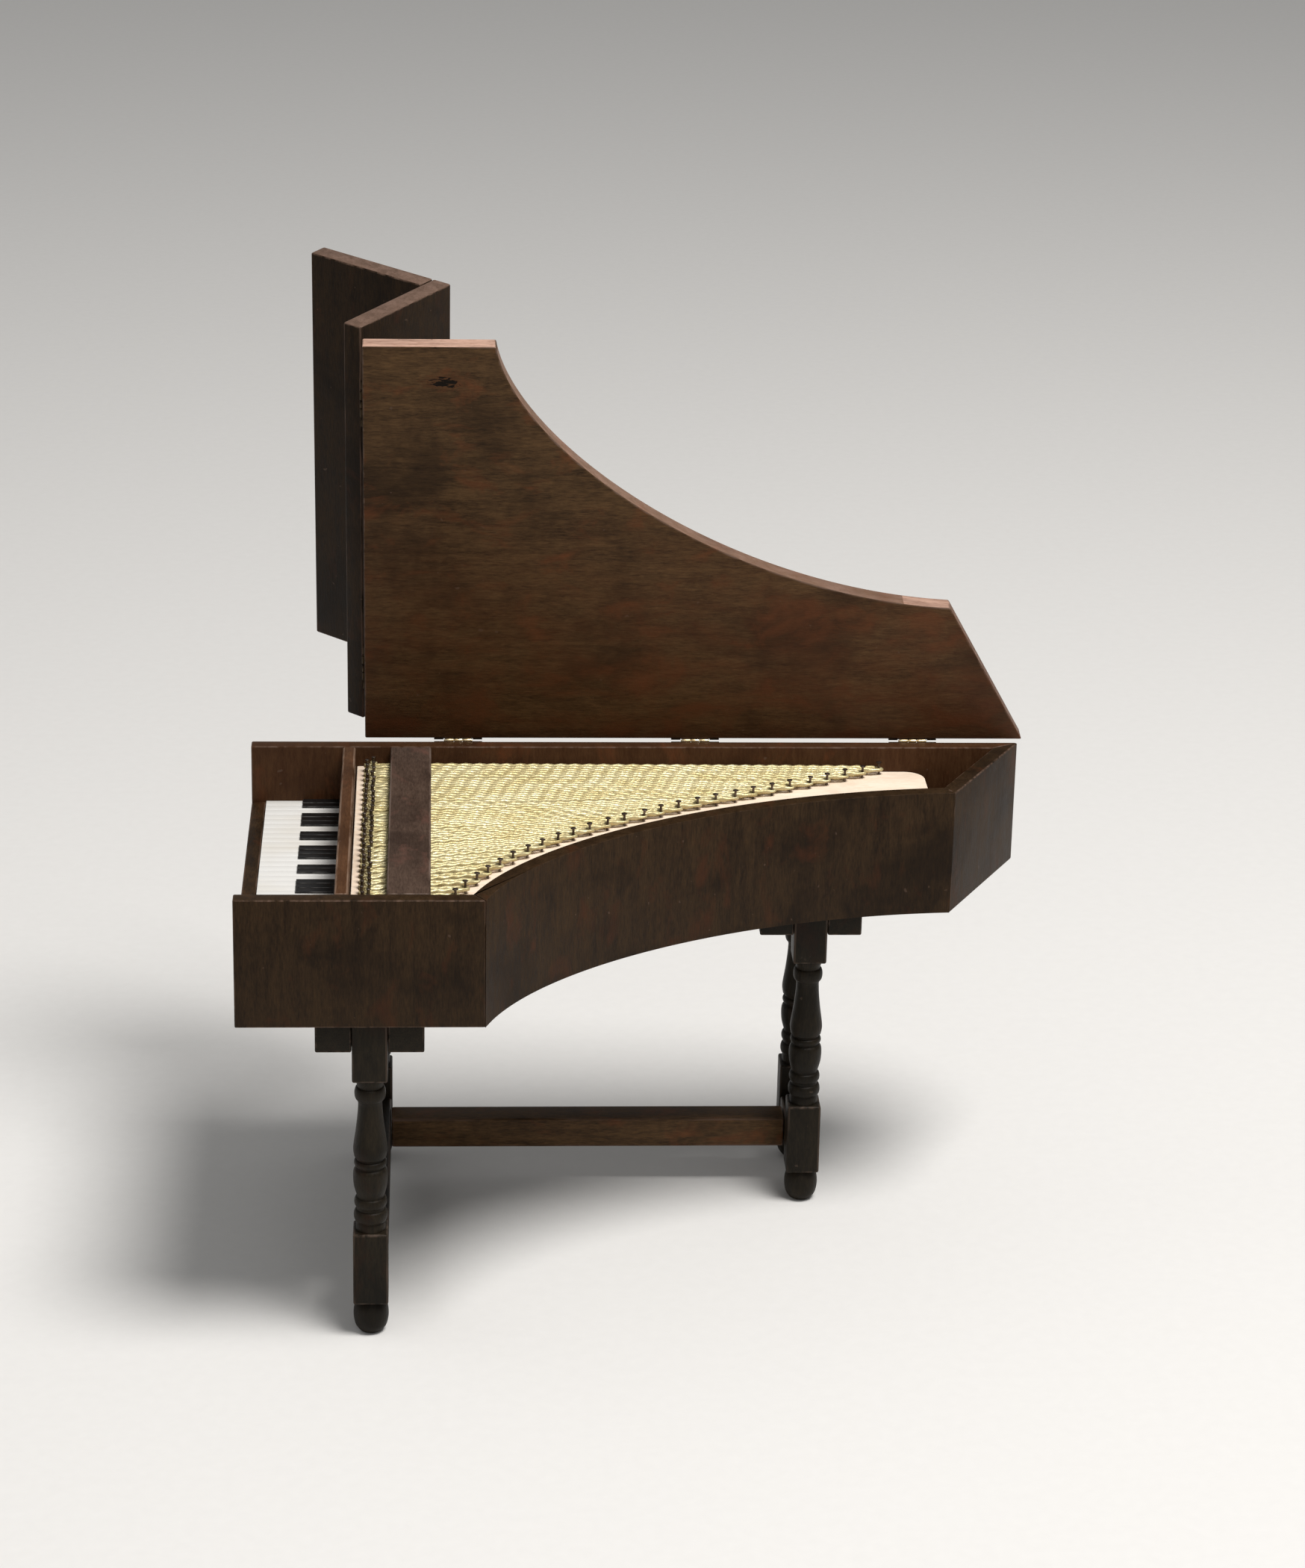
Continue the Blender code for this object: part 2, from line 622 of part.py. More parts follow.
def shade(obj):
    """Smooth shading across the curved faces, with the corners kept sharp."""
    if obj.type != "MESH":
        return
    obj.data.shade_smooth()
    obj.data.set_sharp_from_angle(angle=math.radians(35))


def outline_box():
    bpy.context.view_layer.update()
    graph = bpy.context.evaluated_depsgraph_get()
    points = []
    for obj in PARTS.objects:
        if obj.type == "MESH":
            turned = obj.evaluated_get(graph)
            points += [turned.matrix_world @ vertex.co for vertex in turned.data.vertices]
    low = [min(point[axis] for point in points) for axis in range(3)]
    high = [max(point[axis] for point in points) for axis in range(3)]
    return low, high


def centre_on_origin():
    """Puts the middle of the outline box's bottom face on the origin."""
    low, high = outline_box()
    root = bpy.data.objects.new(OBJECT_NAME + "_origin", None)
    PARTS.objects.link(root)
    for obj in (*PARTS.objects, *CUTTERS.objects):
        if obj is not root and obj.parent is None:
            obj.parent = root
    root.location = (-(low[0] + high[0]) / 2, -(low[1] + high[1]) / 2, -low[2])
    bpy.context.view_layer.update()


clear_scene()
PARTS = make_collection(OBJECT_NAME)
CUTTERS = make_collection("cutters", hidden=True)
MATERIALS = {name: make_material(name) for name in FINISHES}
make_rim()
make_keyboard()
make_interior()
make_stand()
make_lid()
for part in PARTS.objects:
    shade(part)
centre_on_origin()
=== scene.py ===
"""The looks of the miniature harpsichord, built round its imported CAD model. Metres, +Z up.

Pieces of the case and the stand are modelled from the case's own corner: x runs from the keyboard
end to the tail, y from the cheek to the spine, z up from the floor. The lid, its flap and the drop
front are modelled shut in that same frame, and their joints then say how far they stand open.
"""

import math
import random

import bmesh
import bpy
from mathutils import Matrix, Vector


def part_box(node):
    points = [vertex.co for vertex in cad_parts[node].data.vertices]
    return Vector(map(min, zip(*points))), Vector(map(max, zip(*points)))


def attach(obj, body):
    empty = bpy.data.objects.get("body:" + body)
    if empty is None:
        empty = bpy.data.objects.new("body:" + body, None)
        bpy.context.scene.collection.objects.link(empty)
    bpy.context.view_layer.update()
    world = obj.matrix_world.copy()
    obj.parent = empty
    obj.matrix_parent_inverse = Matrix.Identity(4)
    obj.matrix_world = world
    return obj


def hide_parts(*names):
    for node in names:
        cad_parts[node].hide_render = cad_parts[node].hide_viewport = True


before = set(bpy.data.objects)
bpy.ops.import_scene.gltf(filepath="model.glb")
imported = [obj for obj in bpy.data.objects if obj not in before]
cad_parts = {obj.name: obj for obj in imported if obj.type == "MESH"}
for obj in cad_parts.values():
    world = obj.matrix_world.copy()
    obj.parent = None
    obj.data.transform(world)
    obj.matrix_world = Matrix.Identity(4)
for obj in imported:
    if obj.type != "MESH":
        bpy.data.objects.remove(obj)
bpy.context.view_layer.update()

MM = 0.001
GAP = 0.03 * MM
EDGE = 0.22 * MM

# The case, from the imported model
CASE_CORNER = Vector((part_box("cheek")[0].x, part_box("cheek")[0].y, 0.0))
CASE_PLACE = Matrix.Translation(CASE_CORNER)
CASE_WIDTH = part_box("spine")[1].y - CASE_CORNER.y
CASE_LENGTH = 137.5 * MM
CASE_LOW, CASE_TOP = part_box("cheek")[0].z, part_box("cheek")[1].z
WALL = 2.8 * MM
CHEEK_LENGTH = 41.0 * MM
TAIL_CORNER = (123.2 * MM, 49.2 * MM)
BENT_START = (24.6 * MM, math.radians(71.0))
BENT_END = (40.2 * MM, math.radians(3.5))
CURVE_STEPS = 72

# The lid, shut
LID_THICKNESS = 3.7 * MM
LID_LOW = CASE_TOP + 0.15 * MM
LID_FRONT = 20.2 * MM
LID_OVERHANG = 0.4 * MM
LID_CHEEK_END = 43.0 * MM
LID_TAIL_CORNER = (123.8 * MM, 48.8 * MM)
LID_TAIL_END = 138.3 * MM
LID_START = (19.1 * MM, math.radians(80.2))
LID_END = (40.3 * MM, math.radians(3.3))
FLAP_BACK = 19.8 * MM
FLAP_FRONT = -5.7 * MM
FLAP_SHIFT = 1.65 * MM
FLAP_EDGE = 0.3 * MM
# How strongly the flap's and drop front's upward edges take the pale unstained colour, partly a painted
# highlight.
FLAP_RAW_LIT_END = 0.28
DROP_TOP = LID_LOW - 0.3 * MM
DROP_HEIGHT = 24.5 * MM

LID_OPEN = math.radians(82.0)
FLAP_OPEN = math.radians(127.5)
STAND_OFF = 0.38 * MM
LID_AXIS = Vector((0.0, CASE_WIDTH + STAND_OFF, (CASE_TOP + LID_LOW) / 2))
FLAP_AXIS = Vector((20.0 * MM, 0.0, LID_LOW + LID_THICKNESS + STAND_OFF))
DROP_AXIS = Vector((FLAP_FRONT - STAND_OFF, 0.0, (LID_LOW + DROP_TOP) / 2))
KNUCKLE_RADIUS = 0.36 * MM
PIN_RADIUS = 0.17 * MM
LEAF_RANGE = (0.10 * MM, 0.36 * MM)
LEAF_START = 0.1 * MM
LEAF_WIDTH = 2.2 * MM
HINGE_LENGTH = 8.6 * MM
KNUCKLES_LENGTH = 4.8 * MM
KNUCKLES_ROOM = 0.25 * MM
NAIL_REACH, NAIL_SPREAD = 0.68, 0.33
LID_HINGES = (36.8 * MM, 79.3 * MM, 118.5 * MM)
FLAP_HINGES = (12.0 * MM, 63.0 * MM)

# Keys and strings
NATURAL_COUNT = 31
SHARP_GROUPS = (2, 3, 2, 3, 2, 3, 2, 3, 2)
STRING_RADIUS = 0.57 * MM
TIGHT_RADIUS = 0.25 * MM
LOOP_RADIUS = 0.32 * MM
STRING_HEIGHT = CASE_TOP - 2.75 * MM
STRING_DROP = 0.9 * MM
STRING_TWIST = 5.0 * MM
STRING_SLANT = 0.34
STRING_SETTLING = 0.12
STRAIGHT = 0.97
PLY_ROUNDNESS = 0.85
STRING_STEP = 0.35 * MM
THREAD_SIDES = 8
PIN_COUNT = 28
HITCH_START = (34.7 * MM, 7.3 * MM)
HITCH_END = (112.2 * MM, 70.85 * MM)
HITCH_HANDLES = ((40.5 * MM, math.radians(69.0)), (35.7 * MM, math.radians(30.4)))
HITCH_RADIUS = 0.21 * MM
TUNING_X = (20.7 * MM, 21.8 * MM)
TUNING_Y = (4.6 * MM, 70.4 * MM)
TUNING_RADIUS = 0.28 * MM
PIN_LEAN = 0.08
PIN_DEPTH = 0.3 * MM
HITCH_TOP, TUNING_TOP = CASE_TOP - 2.2 * MM, CASE_TOP - 1.2 * MM
HITCH_HEAD, TUNING_HEAD = 0.5 * MM, 0.37 * MM

# Stand
LEG_SIDE = 5.9 * MM
LEG_BLOCKS = ((6.0 * MM, 19.1 * MM), 47.0 * MM)

# The lid's flaw, and where the camera stands from the case's corner
KNOT = (34.0 * MM, 6.2 * MM, LID_LOW)
KNOT_SCALE = (210.0, 560.0, 60.0)
CAMERA_LENS = 94.14
CAMERA_STAND = Vector((32.64 * MM, -614.87 * MM, 332.43 * MM))
CAMERA_YAW, CAMERA_PITCH, CAMERA_ROLL = -0.0567, 0.36056, 0.02127

random.seed(12)


# ---------------------------------------------------------------- materials


class Finish:
    """A material whose nodes are wired up step by step."""

    def __init__(self, name, **sockets):
        self.material = bpy.data.materials.new(name)
        self.material.use_nodes = True
        self.tree = self.material.node_tree
        self.shader = self.tree.nodes["Principled BSDF"]
        for socket, value in sockets.items():
            self.shader.inputs[socket.replace("_", " ")].default_value = value
        self.place = self.node("ShaderNodeTexCoord").outputs["Object"]

    def node(self, kind, **settings):
        node = self.tree.nodes.new(kind)
        for name, value in settings.items():
            setattr(node, name, value)
        return node

    def feed(self, socket, value):
        """Wires an output to a socket, or sets the socket to a plain value."""
        if isinstance(value, bpy.types.NodeSocket):
            self.tree.links.new(value, socket)
        else:
            socket.default_value = value

    def stretched(self, per_metre):
        mapping = self.node("ShaderNodeMapping")
        self.feed(mapping.inputs["Vector"], self.place)
        self.feed(mapping.inputs["Scale"], per_metre)
        return mapping.outputs["Vector"]

    def noise(self, per_metre, detail=3.0, distortion=0.0, roughness=0.55):
        texture = self.node("ShaderNodeTexNoise")
        self.feed(texture.inputs["Vector"], self.stretched(per_metre))
        self.feed(texture.inputs["Scale"], 1.0)
        self.feed(texture.inputs["Detail"], detail)
        self.feed(texture.inputs["Distortion"], distortion)
        self.feed(texture.inputs["Roughness"], roughness)
        return texture.outputs["Fac"]

    def between(self, value, low, high, to_low=0.0, to_high=1.0):
        ramp = self.node("ShaderNodeMapRange")
        for socket, setting in zip(ramp.inputs, (value, low, high, to_low, to_high)):
            self.feed(socket, setting)
        return ramp.outputs["Result"]

    def math(self, operation, first, second):
        node = self.node("ShaderNodeMath", operation=operation, use_clamp=True)
        self.feed(node.inputs[0], first)
        self.feed(node.inputs[1], second)
        return node.outputs["Value"]

    def mix(self, factor, first, second):
        node = self.node("ShaderNodeMix", data_type="RGBA")
        for socket, value in zip((node.inputs[0], node.inputs[6], node.inputs[7]), (factor, first, second)):
            if isinstance(value, tuple):
                value = (*value, 1.0)
            self.feed(socket, value)
        return node.outputs[2]

    def attribute(self, name):
        return self.node("ShaderNodeAttribute", attribute_name=name).outputs["Fac"]

    def bump(self, height, distance, before=None):
        node = self.node("ShaderNodeBump")
        self.feed(node.inputs["Height"], height)
        self.feed(node.inputs["Distance"], distance)
        self.feed(node.inputs["Strength"], 1.0)
        if before:
            self.feed(node.inputs["Normal"], before)
        return node.outputs["Normal"]

    def finish(self, colour, roughness, normal):
        self.feed(self.shader.inputs["Base Color"], colour)
        self.feed(self.shader.inputs["Roughness"], roughness)
        self.feed(self.shader.inputs["Normal"], normal)
        return self.material


def along(axis, lengthwise, across):
    """Noise scales that draw a grain out along one axis."""
    return tuple(lengthwise if letter == axis else across for letter in "XYZ")


def shade_of(colour, depth):
    return tuple(depth * channel for channel in colour)


def wood(name, grain, dark, light, stain, raw_and_lit, worn, gloss=0.46, knot=None):
    """Stained and rubbed wood. Pieces mark their pale edges, unstained wood that is partly a painted
    highlight from the light above, and their corners, which wear.
    """
    made = Finish(name, IOR=1.45, Specular_IOR_Level=0.12, Coat_Weight=0.02, Coat_Roughness=0.35)
    pores = made.noise(along(grain, 620.0, 3400.0), 4.0, 0.3, 0.65)
    figure = made.noise(along(grain, 90.0, 620.0), 3.0, 0.6)
    cloud = made.noise((75.0, 70.0, 80.0), 4.0, 0.3, 0.6)
    glow = made.noise(along(grain, 95.0, 170.0), 4.0, 0.5, 0.65)
    specks = made.noise((700.0, 700.0, 700.0), 1.0)
    fine, broad = made.between(pores, 0.3, 0.7, 0.0, 0.6), made.between(figure, 0.3, 0.7, 0.0, 0.4)
    streaks = made.math("ADD", fine, broad)
    colour = made.mix(streaks, dark, light)
    colour = made.mix(made.between(cloud, 0.48, 0.66, 0.0, 0.6), colour, shade_of(dark, 0.8))
    colour = made.mix(made.between(glow, 0.56, 0.74, 0.0, 0.7), colour, stain)
    # The pale edge colour: unstained wood, partly a painted highlight where the edges face the light above.
    bare_and_lit = made.mix(made.between(figure, 0.35, 0.65), raw_and_lit, shade_of(raw_and_lit, 0.6))
    bare_and_lit = made.mix(made.between(pores, 0.5, 0.7, 0.0, 0.5), bare_and_lit, stain)
    colour = made.mix(made.attribute("raw_and_lit"), colour, bare_and_lit)
    rubbed = made.math("MULTIPLY", made.attribute("wear"), made.between(figure, 0.4, 0.65))
    colour = made.mix(rubbed, colour, worn)
    colour = made.mix(made.between(specks, 0.76, 0.8, 0.0, 0.5), colour, worn)
    height = pores
    if knot:
        redder = made.math("MULTIPLY", made.between(glow, 0.4, 0.6, 0.3, 1.0), towards_hinge(made))
        colour = made.mix(redder, colour, shade_of(stain, 0.62))
        hole, rim = knot_in(made, knot)
        colour = made.mix(rim, colour, shade_of(stain, 0.75))
        colour = made.mix(hole, colour, shade_of(dark, 0.25))
        height = made.math("SUBTRACT", pores, hole)
    roughness = made.between(streaks, 0.0, 1.0, gloss - 0.06, gloss + 0.16)
    normal = made.bump(height, 0.06 * MM, made.bump(cloud, 0.2 * MM))
    return made.finish(colour, roughness, normal)


def towards_hinge(made):
    """How far the stain reddens across the lid, on its way to the hinged edge."""
    parts = made.node("ShaderNodeSeparateXYZ")
    made.feed(parts.inputs["Vector"], made.place)
    return made.between(parts.outputs["Y"], 0.35 * CASE_WIDTH, CASE_WIDTH, 0.0, 0.75)


def knot_in(made, centre):
    """A torn knot a few millimetres long: its hole, and the stained rim that trails from it."""
    ragged = made.between(made.noise((600.0, 1500.0, 500.0), 4.0, 0.8), 0.2, 0.8, -0.7, 0.7)
    shift = made.node("ShaderNodeMapping")
    made.feed(shift.inputs["Vector"], made.place)
    made.feed(shift.inputs["Scale"], KNOT_SCALE)
    made.feed(shift.inputs["Location"], tuple(-c * k for c, k in zip(centre, KNOT_SCALE)))
    length = made.node("ShaderNodeVectorMath", operation="LENGTH")
    made.feed(length.inputs[0], shift.outputs["Vector"])
    reach = made.node("ShaderNodeMath", operation="ADD")
    made.feed(reach.inputs[0], length.outputs["Value"])
    made.feed(reach.inputs[1], ragged)
    reach = reach.outputs["Value"]
    return made.between(reach, 0.35, 0.5, 1.0, 0.0), made.between(reach, 0.5, 0.9, 0.4, 0.0)


def stained(name, grain, depth=1.0, redden=0.0, **settings):
    tones = {"dark": (0.020, 0.010, 0.004), "light": (0.118, 0.064, 0.027), "stain": (0.135, 0.044, 0.016)}
    tones = {tone: shade_of(colour, depth) for tone, colour in tones.items()}
    redder = shade_of(tones["stain"], 0.55)
    for tone in ("dark", "light"):
        tones[tone] = tuple(a + (b - a) * redden for a, b in zip(tones[tone], redder))
    return wood(name, grain, raw_and_lit=(0.52, 0.33, 0.25), worn=(0.11, 0.068, 0.048), **tones, **settings)


def warm_brown(name, grain):
    tones = {"dark": (0.045, 0.019, 0.008), "light": (0.112, 0.052, 0.024), "stain": (0.100, 0.036, 0.016)}
    return wood(name, grain, raw_and_lit=(0.3, 0.2, 0.13), worn=(0.20, 0.13, 0.09), **tones)


def purple_brown(name, grain):
    tones = {"dark": (0.030, 0.018, 0.013), "light": (0.100, 0.064, 0.046), "stain": (0.125, 0.060, 0.044)}
    return wood(name, grain, raw_and_lit=(0.2, 0.13, 0.1), worn=(0.14, 0.10, 0.08), **tones)


def ebonised(name, grain):
    tones = {"dark": (0.006, 0.0048, 0.003), "light": (0.026, 0.019, 0.011), "stain": (0.025, 0.010, 0.005)}
    return wood(name, grain, raw_and_lit=(0.09, 0.055, 0.04), worn=(0.075, 0.052, 0.038), gloss=0.4, **tones)


def pale(name):
    tones = {"dark": (0.82, 0.64, 0.48), "light": (0.95, 0.83, 0.69), "stain": (0.86, 0.66, 0.52)}
    return wood(name, "X", raw_and_lit=(0.8, 0.62, 0.46), worn=(0.90, 0.80, 0.66), gloss=0.55, **tones)


def gold_thread():
    made = Finish("gold_thread", Metallic=0.45, IOR=1.5)
    foil = made.noise((2600.0, 2600.0, 2600.0), 2.0)
    tint = made.noise((160.0, 420.0, 420.0), 3.0)
    colour = made.mix(made.between(tint, 0.35, 0.65), (0.50, 0.41, 0.19), (0.62, 0.55, 0.32))
    colour = made.mix(made.between(foil, 0.6, 0.74, 0.0, 0.4), colour, (0.40, 0.29, 0.10))
    roughness = made.between(foil, 0.3, 0.7, 0.34, 0.55)
    return made.finish(colour, roughness, made.bump(foil, 0.05 * MM))


def ivory_white():
    made = Finish("ivory_white", IOR=1.5, Coat_Weight=0.25, Coat_Roughness=0.15)
    age = made.noise((70.0, 120.0, 120.0), 3.0, 0.5)
    lines = made.noise((60.0, 900.0, 900.0), 2.0)
    colour = made.mix(made.between(age, 0.4, 0.7), (0.80, 0.79, 0.76), (0.74, 0.71, 0.65))
    colour = made.mix(made.between(lines, 0.62, 0.8, 0.0, 0.3), colour, (0.66, 0.64, 0.60))
    roughness = made.between(age, 0.3, 0.7, 0.28, 0.42)
    return made.finish(colour, roughness, made.bump(lines, 0.015 * MM))


def ebony_black():
    made = Finish("ebony_black", IOR=1.5, Specular_IOR_Level=0.3, Coat_Weight=0.05, Coat_Roughness=0.2)
    grain = made.noise((200.0, 2200.0, 2200.0), 3.0)
    scuffs = made.noise((500.0, 700.0, 700.0), 4.0)
    colour = made.mix(made.between(grain, 0.3, 0.7), (0.005, 0.005, 0.0055), (0.013, 0.012, 0.0115))
    rubbed = made.math("MULTIPLY", made.attribute("wear"), made.between(scuffs, 0.4, 0.6))
    colour = made.mix(rubbed, colour, (0.09, 0.085, 0.08))
    roughness = made.between(scuffs, 0.3, 0.7, 0.26, 0.48)
    return made.finish(colour, roughness, made.bump(grain, 0.03 * MM))


def metal(name, bright, dull, shine):
    made = Finish(name, Metallic=1.0)
    tarnish = made.noise((700.0, 700.0, 700.0), 4.0, 0.4)
    brushed = made.noise((300.0, 4000.0, 4000.0), 2.0)
    colour = made.mix(made.between(tarnish, 0.42, 0.66), bright, dull)
    roughness = made.between(tarnish, 0.3, 0.7, shine, shine + 0.25)
    return made.finish(colour, roughness, made.bump(brushed, 0.02 * MM))


STAINED = {axis: stained("stained_wood_" + axis, axis, 0.44) for axis in "YZ"}
LID_WOOD = stained("lid_wood", "X", knot=KNOT)
# The flap and drop front share the lid's stain, darkened to paint the shade that they stand in.
FLAP_WOOD_PAINTED_SHADE = stained("flap_wood_painted_shade", "Y", 0.32)
STRETCHER_WOOD = stained("stretcher_wood", "X", 1.05)
EBONISED = {axis: ebonised("dark_wood_" + axis, axis) for axis in "XYZ"}
SPINE_WOOD = stained("spine_wood", "Z", 0.8, redden=0.5)
WARM = warm_brown("warm_brown_wood", "Y")
PURPLE = purple_brown("purple_brown_wood", "Y")
PALE = pale("pale_wood")
GOLD = gold_thread()
WHITE = ivory_white()
BLACK = ebony_black()
BRASS = metal("brass", (0.95, 0.82, 0.55), (0.62, 0.45, 0.22), 0.2)
# Brass darkened to near black to paint the shade in the hinge gaps; its mottling is tarnish. Every leaf and
# the flap's and drop front's knuckles wear it.
PAINTED_SHADE_BRASS = metal("painted_shade_brass", (0.055, 0.038, 0.022), (0.02, 0.013, 0.009), 0.45)
STEEL = metal("nail_steel", (0.16, 0.13, 0.11), (0.06, 0.04, 0.03), 0.3)


# ---------------------------------------------------------------- shapes


def turned_place(place, axis, rotation):
    """A place, turned about a point of it."""
    return place @ Matrix.Translation(axis) @ rotation @ Matrix.Translation(-axis)


LID_PLACE = turned_place(CASE_PLACE, LID_AXIS, Matrix.Rotation(-LID_OPEN, 4, "X"))
FLAP_PLACE = turned_place(LID_PLACE, FLAP_AXIS, Matrix.Rotation(FLAP_OPEN, 4, "Y"))


def finish_shape(name, shape, material, smooth_below=40.0, second=None):
    mesh = bpy.data.meshes.new(name)
    shape.to_mesh(mesh)
    shape.free()
    mesh.materials.append(material)
    if second:
        mesh.materials.append(second)
    mesh.shade_smooth()
    mesh.set_sharp_from_angle(angle=math.radians(smooth_below))
    obj = bpy.data.objects.new(name, mesh)
    bpy.context.scene.collection.objects.link(obj)
    return obj


def install(obj, body, slot, *nodes, place=CASE_PLACE):
    """Puts a piece in its place, on its body, for the CAD nodes that it stands for."""
    obj.matrix_world = place
    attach(obj, body)
    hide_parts(*nodes)
    return obj


def new_shape():
    """An empty shape whose faces can be marked as pale unstained wood with a painted highlight, or as worn.
    """
    shape = bmesh.new()
    for name in ("raw_and_lit", "wear"):
        shape.faces.layers.float.new(name)
    return shape


def mark(shape, faces, name, amount=1.0):
    layer = shape.faces.layers.float[name]
    for face in faces:
        face[layer] = amount


def soften(shape, width, segments=3, above=35.0):
    """Rounds the sharp edges of a closed shape, and marks the rounding as a place that wears."""
    sharp = [e for e in shape.edges if e.calc_face_angle(0.0) > math.radians(above)]
    settings = {"offset": width, "segments": segments, "profile": 0.5, "affect": "EDGES"}
    rounded = bmesh.ops.bevel(shape, geom=sharp, clamp_overlap=True, **settings)
    mark(shape, rounded["faces"], "wear")


def drawn_out(outline, low, high):
    """A closed shape whose section is an outline in x and y, from low to high z."""
    shape = new_shape()
    face = shape.faces.new([shape.verts.new((x, y, low)) for x, y in outline])
    drawn = bmesh.ops.extrude_face_region(shape, geom=[face])
    top = [item for item in drawn["geom"] if isinstance(item, bmesh.types.BMVert)]
    bmesh.ops.translate(shape, verts=top, vec=(0.0, 0.0, high - low))
    return shape


def add_part(shape, part):
    """Moves a part's faces into the shape that it belongs to."""
    mesh = bpy.data.meshes.new("part")
    part.to_mesh(mesh)
    part.free()
    shape.from_mesh(mesh)
    bpy.data.meshes.remove(mesh)


def prism(name, outline, low, high, material, edge=EDGE, raw_lit_end=0.0, upright=None):
    """An outline in x and y drawn out from low to high z, its edges softened.

    With upright set to X, the outline is in y and z and is drawn out along x instead.
    """
    shape = drawn_out(outline, low, high)
    if upright == "X":
        for vert in shape.verts:
            vert.co = vert.co.zxy
    bmesh.ops.recalc_face_normals(shape, faces=shape.faces)
    # The edges facing down y stand upward to the light when the lid is open; their pale unstained colour is
    # partly a painted highlight, full on the square end and weaker round the curve.
    if raw_lit_end:
        edges = [f for f in shape.faces if f.normal.y < -0.2 and abs(f.normal.z) < 0.5]
        mark(shape, edges, "raw_and_lit", 0.4 * raw_lit_end)
        mark(shape, [f for f in edges if f.normal.y < -0.99], "raw_and_lit", raw_lit_end)
    soften(shape, edge)
    return finish_shape(name, shape, material)


def rectangle(x_low, y_low, x_high, y_high):
    return [(x_low, y_low), (x_high, y_low), (x_high, y_high), (x_low, y_high)]


def slab(name, low, high, material, edge=EDGE, raw_lit_end=0.0):
    outline = rectangle(low[0], low[1], high[0], high[1])
    return prism(name, outline, low[2], high[2], material, edge, raw_lit_end)


def lathe(shape, profile, segments, place):
    """Adds a turned solid: radius and height from its top to its bottom, on the place's z axis."""
    rings = []
    for radius, height in profile:
        if radius < 1e-9:
            rings.append([shape.verts.new(place @ Vector((0.0, 0.0, height)))])
            continue
        turns = (2 * math.pi * step / segments for step in range(segments))
        points = (Vector((radius * math.cos(t), radius * math.sin(t), height)) for t in turns)
        rings.append([shape.verts.new(place @ point) for point in points])
    for upper, lower in zip(rings, rings[1:]):
        for step in range(segments):
            after = (step + 1) % segments
            corners = (upper[step % len(upper)], lower[step % len(lower)])
            corners += (lower[after % len(lower)], upper[after % len(upper)])
            unique = list(dict.fromkeys(corners))
            if len(unique) > 2:
                shape.faces.new(unique)


def sweep_curve(start, end, start_handle, end_handle, steps=CURVE_STEPS):
    """A cubic from start to end; each handle is its length and its direction in plan."""
    start, end = Vector(start), Vector(end)
    length, angle = start_handle
    first = start + length * Vector((math.cos(angle), math.sin(angle)))
    length, angle = end_handle
    second = end - length * Vector((math.cos(angle), math.sin(angle)))
    points = []
    for step in range(steps + 1):
        t = step / steps
        s = 1 - t
        point = s**3 * start + 3 * s * s * t * first + 3 * s * t * t * second + t**3 * end
        points.append((point.x, point.y))
    return points


def inset_corner(before, here, after, distance):
    """The corner of a counter-clockwise outline moved inwards from both of its sides."""
    before, here, after = Vector(before), Vector(here), Vector(after)
    first, second = (here - before).normalized(), (after - here).normalized()
    normals = Vector((-first.y, first.x)) + Vector((-second.y, second.x))
    moved = here + normals * distance / (1 + first.dot(second))
    return moved.x, moved.y


def case_outline():
    bentside = sweep_curve((CHEEK_LENGTH, 0.0), TAIL_CORNER, BENT_START, BENT_END)
    return [(0.0, 0.0), *bentside, (CASE_LENGTH, CASE_WIDTH), (0.0, CASE_WIDTH)]


def case_inset(distance):
    """The case outline with its walls moved inwards and its open front left where it is."""
    outer = case_outline()
    corners = zip(outer, outer[1:], outer[2:])
    inner = [inset_corner(a, b, c, distance) for a, b, c in corners]
    return [(0.0, distance), *inner, (0.0, CASE_WIDTH - distance)]


def arc(centre, radius, first, last, steps=8):
    """Points on a circle, its angles in degrees."""
    angles = (math.radians(first + (last - first) * step / steps) for step in range(steps + 1))
    return [(centre[0] + radius * math.cos(a), centre[1] + radius * math.sin(a)) for a in angles]


# ---------------------------------------------------------------- case


def wall(name, first, last, square_start=False, square_end=False, material=STAINED["Z"]):
    """One board of the rim, mitred to its neighbours, between two corners of the outline."""
    outer = case_outline()[first : last + 1]
    inner = case_inset(WALL)[first : last + 1]
    for points in (outer, inner):
        ends = (0, 1, square_start), (-1, -2, square_end)
        for end, inward, square in ends:
            if not square:
                move = (Vector(outer[inward]) - Vector(outer[end])).normalized() * GAP
                points[end] = (points[end][0] + move.x, points[end][1] + move.y)
    board = prism(name + "_board", outer + inner[::-1], CASE_LOW, CASE_TOP, material)
    return install(board, "case_and_stand", "stained_wood", name)


def make_case():
    tail = 1 + CURVE_STEPS
    wall("cheek", 0, 1, square_start=True)
    wall("bentside", 1, tail)
    wall("tail_board", tail, tail + 1)
    wall("spine", tail + 1, tail + 2, square_end=True, material=SPINE_WOOD)


def local_box(node):
    """A CAD node's box, measured from the case's corner."""
    low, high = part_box(node)
    return low - CASE_CORNER, high - CASE_CORNER


def rebuilt(node, material, slot, edge=EDGE):
    """A plain board of the CAD model with properly rounded edges."""
    low, high = local_box(node)
    board = slab(node + "_board", low, high, material, edge)
    return install(board, "case_and_stand", slot, node)


